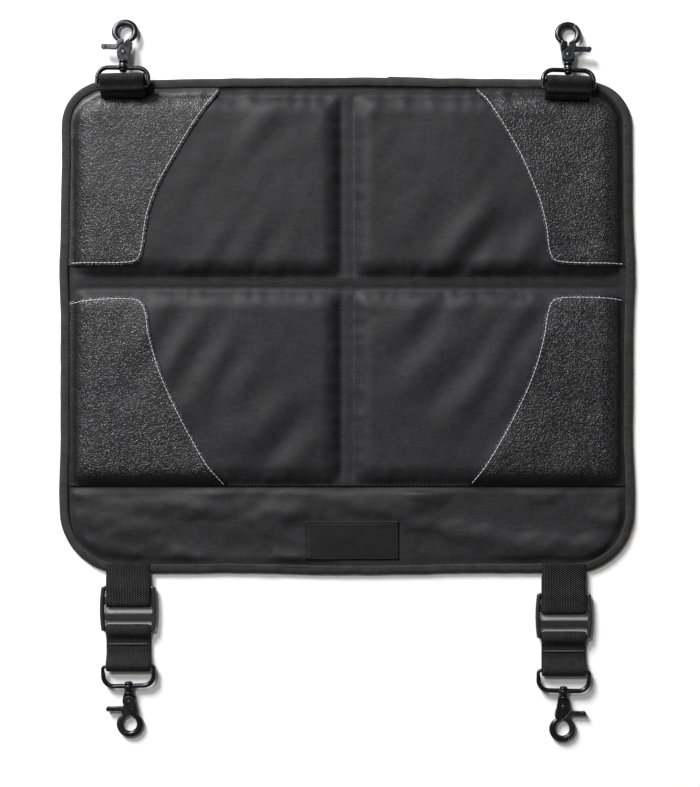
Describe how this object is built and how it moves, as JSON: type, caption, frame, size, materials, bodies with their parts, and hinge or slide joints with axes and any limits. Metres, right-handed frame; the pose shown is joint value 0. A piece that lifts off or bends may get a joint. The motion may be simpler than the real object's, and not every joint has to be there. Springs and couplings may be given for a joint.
{
  "type": "car seat protector",
  "caption": "Flat quilted kick mat for the back of a car seat, with vinyl corner patches, bound edge, webbing loops and straps, slide buckles and swivel snap hooks.",
  "frame": {"origin": "middle of the mat's underside, on the surface that the mat lies on", "axes": "+X to the right and +Y towards the top loops as the mat hangs, +Z out of the quilted front"},
  "size_m": [0.472, 0.5961, 0.0195],
  "materials": {
    "cloth": "fine woven polyester, dull",
    "backing": "brushed backing cloth",
    "tape": "grosgrain tape",
    "label": "bare satin label",
    "foam": "soft foam",
    "vinyl": "pebbled vinyl, semi-gloss",
    "webbing": "woven webbing",
    "buckle": "moulded, fine satin",
    "hook_metal": "black nickel, glossy",
    "spring_steel": "bright wire"
  },
  "bodies": {
    "mat": {"back_cover": "backing", "front_cover": "cloth", "bottom_band": "cloth", "edge_binding": "tape", "label": "label", "pad_lower_left": "foam", "pad_upper_left": "foam", "pad_lower_right": "foam", "pad_upper_right": "foam", "patch_upper_left": "vinyl", "patch_lower_left": "vinyl", "patch_upper_right": "vinyl", "patch_lower_right": "vinyl", "tab_top_left": "webbing", "tab_top_right": "webbing", "upper_strap_bottom_left": "webbing", "lower_strap_bottom_left": "webbing", "buckle_bottom_left": "buckle", "upper_strap_bottom_right": "webbing", "lower_strap_bottom_right": "webbing", "buckle_bottom_right": "buckle"},
    "swivel_eye_top_left": {"eye_top_left": "hook_metal"},
    "snap_hook_top_left": {"hook_top_left": "hook_metal", "rivet_top_left": "hook_metal", "spring_top_left": "spring_steel"},
    "hook_gate_top_left": {"gate_top_left": "hook_metal"},
    "swivel_eye_top_right": {"eye_top_right": "hook_metal"},
    "snap_hook_top_right": {"hook_top_right": "hook_metal", "rivet_top_right": "hook_metal", "spring_top_right": "spring_steel"},
    "hook_gate_top_right": {"gate_top_right": "hook_metal"},
    "swivel_eye_bottom_left": {"eye_bottom_left": "hook_metal"},
    "snap_hook_bottom_left": {"hook_bottom_left": "hook_metal", "rivet_bottom_left": "hook_metal", "spring_bottom_left": "spring_steel"},
    "hook_gate_bottom_left": {"gate_bottom_left": "hook_metal"},
    "swivel_eye_bottom_right": {"eye_bottom_right": "hook_metal"},
    "snap_hook_bottom_right": {"hook_bottom_right": "hook_metal", "rivet_bottom_right": "hook_metal", "spring_bottom_right": "spring_steel"},
    "hook_gate_bottom_right": {"gate_bottom_right": "hook_metal"}
  },
  "joints": [
    {"name": "swing_top_left", "type": "hinge", "parent": "mat", "child": "swivel_eye_top_left", "pos_m": [-0.1834, 0.1956, 0.015], "axis": [0.9999, -0.0157, 0], "range_deg": [-20, 125]},
    {"name": "swivel_top_left", "type": "hinge", "parent": "swivel_eye_top_left", "child": "snap_hook_top_left", "pos_m": [-0.18313, 0.21278, 0.01118], "axis": [0.0153, 0.976, -0.2171], "continuous": true},
    {"name": "gate_top_left", "type": "hinge", "parent": "snap_hook_top_left", "child": "hook_gate_top_left", "pos_m": [-0.18294, 0.22469, 0.00853], "axis": [0.0034, 0.217, 0.9762], "range_deg": [0, 26], "stiffness_Nm_per_rad": 0.02, "springref_deg": -20.05},
    {"name": "swing_top_right", "type": "hinge", "parent": "mat", "child": "swivel_eye_top_right", "pos_m": [0.1808, 0.1936, 0.015], "axis": [0.9997, -0.0244, 0], "range_deg": [-20, 125]},
    {"name": "swivel_top_right", "type": "hinge", "parent": "swivel_eye_top_right", "child": "snap_hook_top_right", "pos_m": [0.18122, 0.21077, 0.01118], "axis": [0.0238, 0.9759, -0.2171], "continuous": true},
    {"name": "gate_top_right", "type": "hinge", "parent": "snap_hook_top_right", "child": "hook_gate_top_right", "pos_m": [0.18151, 0.22268, 0.00853], "axis": [-0.0053, -0.217, -0.9762], "range_deg": [0, 26], "stiffness_Nm_per_rad": 0.02, "springref_deg": -20.05},
    {"name": "swing_bottom_left", "type": "hinge", "parent": "mat", "child": "swivel_eye_bottom_left", "pos_m": [-0.18, -0.2791, 0.0049], "axis": [-0.9997, -0.0244, 0], "range_deg": [-60, 125]},
    {"name": "swivel_bottom_left", "type": "hinge", "parent": "swivel_eye_bottom_left", "child": "snap_hook_bottom_left", "pos_m": [-0.17957, -0.29668, 0.00408], "axis": [0.0244, -0.9986, -0.0465], "continuous": true},
    {"name": "gate_bottom_left", "type": "hinge", "parent": "snap_hook_bottom_left", "child": "hook_gate_bottom_left", "pos_m": [-0.17927, -0.30886, 0.00352], "axis": [-0.0011, 0.0464, -0.9989], "range_deg": [0, 26], "stiffness_Nm_per_rad": 0.02, "springref_deg": -20.05},
    {"name": "swing_bottom_right", "type": "hinge", "parent": "mat", "child": "swivel_eye_bottom_right", "pos_m": [0.1786, -0.2831, 0.0049], "axis": [-0.9998, 0.0209, 0], "range_deg": [-60, 125]},
    {"name": "swivel_bottom_right", "type": "hinge", "parent": "swivel_eye_bottom_right", "child": "snap_hook_bottom_right", "pos_m": [0.17823, -0.30068, 0.00408], "axis": [-0.0209, -0.9987, -0.0465], "continuous": true},
    {"name": "gate_bottom_right", "type": "hinge", "parent": "snap_hook_bottom_right", "child": "hook_gate_bottom_right", "pos_m": [0.17798, -0.31286, 0.00352], "axis": [-0.001, -0.0464, 0.9989], "range_deg": [0, 26], "stiffness_Nm_per_rad": 0.02, "springref_deg": -20.05}
  ]
}
